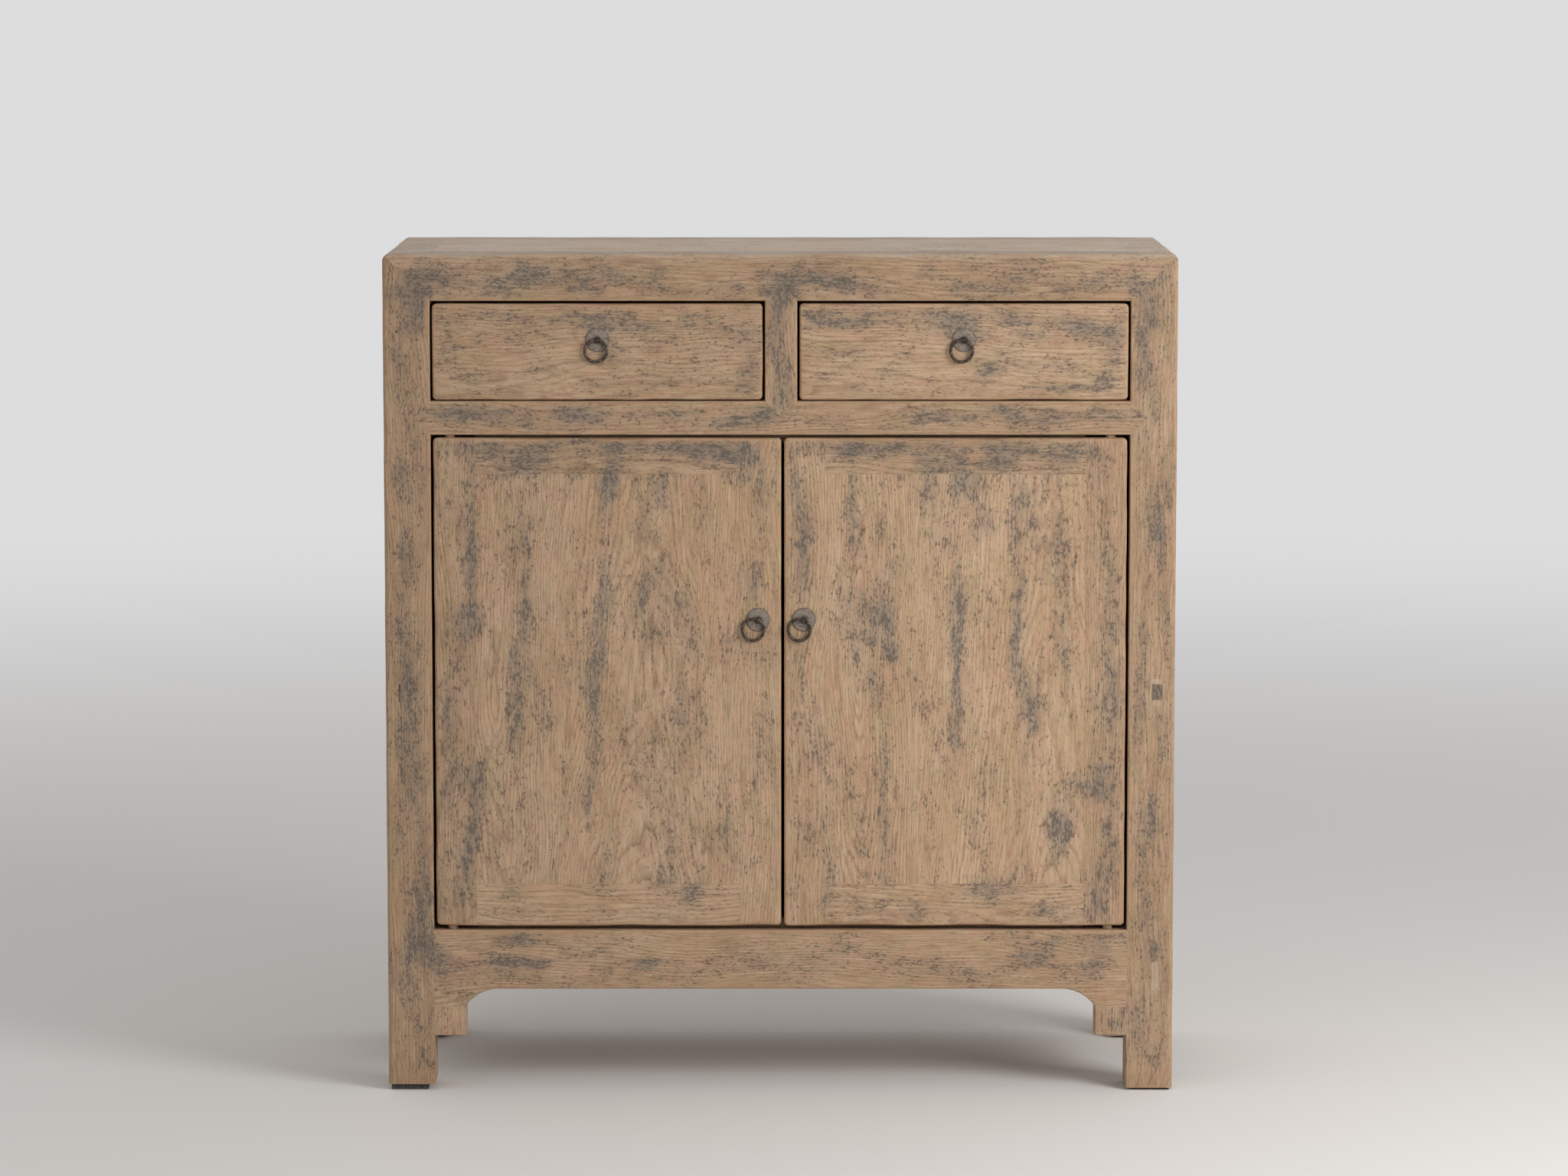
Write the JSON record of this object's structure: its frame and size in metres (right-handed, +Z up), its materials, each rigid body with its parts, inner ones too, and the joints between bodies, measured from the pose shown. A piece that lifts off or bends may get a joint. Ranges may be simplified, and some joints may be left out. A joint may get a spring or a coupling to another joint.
{
  "type": "kang cabinet",
  "caption": "Flush-faced elm cabinet with mitred top frame, side-by-side drawers above inset dowel-hinged doors, shaped apron heads and iron ring pulls.",
  "frame": {"origin": "on the floor, under the middle of the overall box (ring pulls counted in the depth)", "axes": "+Z up, -Y out of the front with the drawers and doors, +X to the right seen from the front"},
  "size_m": [0.96, 0.3878, 1.025],
  "materials": {
    "elm": "dry, hand-planed and sanded, with worn paint residue",
    "elm_inner": "bare, darkened by age",
    "iron": "forged, rubbed bright on the wear edges",
    "pad": "matte"
  },
  "bodies": {
    "carcass": {"apron_heads": "elm", "back_panels": "elm_inner", "bottom_rail_front": "elm", "bottom_rail_left": "elm", "bottom_rail_rear": "elm", "bottom_rail_right": "elm", "door_stops": "elm_inner", "drawer_divider": "elm", "drawer_runners": "elm_inner", "floor_boards": "elm_inner", "foot_pads": "pad", "mid_rail_front": "elm", "mid_rail_rear": "elm", "post_front_left": "elm", "post_front_right": "elm", "post_rear_left": "elm", "post_rear_right": "elm", "side_battens": "elm_inner", "side_panel_left": "elm", "side_panel_right": "elm", "top_battens": "elm_inner", "top_boards": "elm", "top_rail_front": "elm", "top_rail_left": "elm", "top_rail_rear": "elm", "top_rail_right": "elm"},
    "drawer_left": {"drawer_left_back": "elm_inner", "drawer_left_bottom": "elm_inner", "drawer_left_front": "elm", "drawer_left_pull_pin": "iron", "drawer_left_pull_plate": "iron", "drawer_left_side_left": "elm_inner", "drawer_left_side_right": "elm_inner"},
    "drawer_left_ring": {"drawer_left_pull_ring": "iron"},
    "drawer_right": {"drawer_right_back": "elm_inner", "drawer_right_bottom": "elm_inner", "drawer_right_front": "elm", "drawer_right_pull_pin": "iron", "drawer_right_pull_plate": "iron", "drawer_right_side_left": "elm_inner", "drawer_right_side_right": "elm_inner"},
    "drawer_right_ring": {"drawer_right_pull_ring": "iron"},
    "door_left": {"door_left_battens": "elm_inner", "door_left_bottom_rail": "elm", "door_left_hinge_stile": "elm", "door_left_lock_stile": "elm", "door_left_panel": "elm", "door_left_pull_pin": "iron", "door_left_pull_plate": "iron", "door_left_top_rail": "elm"},
    "door_left_ring": {"door_left_pull_ring": "iron"},
    "door_right": {"door_right_battens": "elm_inner", "door_right_bottom_rail": "elm", "door_right_hinge_stile": "elm", "door_right_lock_stile": "elm", "door_right_panel": "elm", "door_right_pull_pin": "iron", "door_right_pull_plate": "iron", "door_right_top_rail": "elm"},
    "door_right_ring": {"door_right_pull_ring": "iron"}
  },
  "joints": [
    {"name": "drawer_left_slide", "type": "slide", "parent": "carcass", "child": "drawer_left", "axis": [0, -1, 0], "range_m": [0, 0.28]},
    {"name": "drawer_right_slide", "type": "slide", "parent": "carcass", "child": "drawer_right", "axis": [0, -1, 0], "range_m": [0, 0.28]},
    {"name": "door_left_hinge", "type": "hinge", "parent": "carcass", "child": "door_left", "pos_m": [-0.4, -0.17455, 0.5], "axis": [0, 0, -1], "range_deg": [0, 110]},
    {"name": "door_right_hinge", "type": "hinge", "parent": "carcass", "child": "door_right", "pos_m": [0.4, -0.17455, 0.5], "axis": [0, 0, 1], "range_deg": [0, 110]},
    {"name": "drawer_left_ring_swing", "type": "hinge", "parent": "drawer_left", "child": "drawer_left_ring", "pos_m": [-0.22075, -0.18945, 0.921], "axis": [-0.9903, 0, 0.1392], "range_deg": [0, 165]},
    {"name": "drawer_right_ring_swing", "type": "hinge", "parent": "drawer_right", "child": "drawer_right_ring", "pos_m": [0.22175, -0.18945, 0.921], "axis": [-0.9744, 0, 0.225], "range_deg": [0, 165]},
    {"name": "door_left_ring_swing", "type": "hinge", "parent": "door_left", "child": "door_left_ring", "pos_m": [-0.027, -0.18945, 0.581], "axis": [-0.891, 0, 0.454], "range_deg": [0, 165]},
    {"name": "door_right_ring_swing", "type": "hinge", "parent": "door_right", "child": "door_right_ring", "pos_m": [0.0285, -0.18945, 0.581], "axis": [-0.9063, 0, 0.4226], "range_deg": [0, 165]}
  ]
}
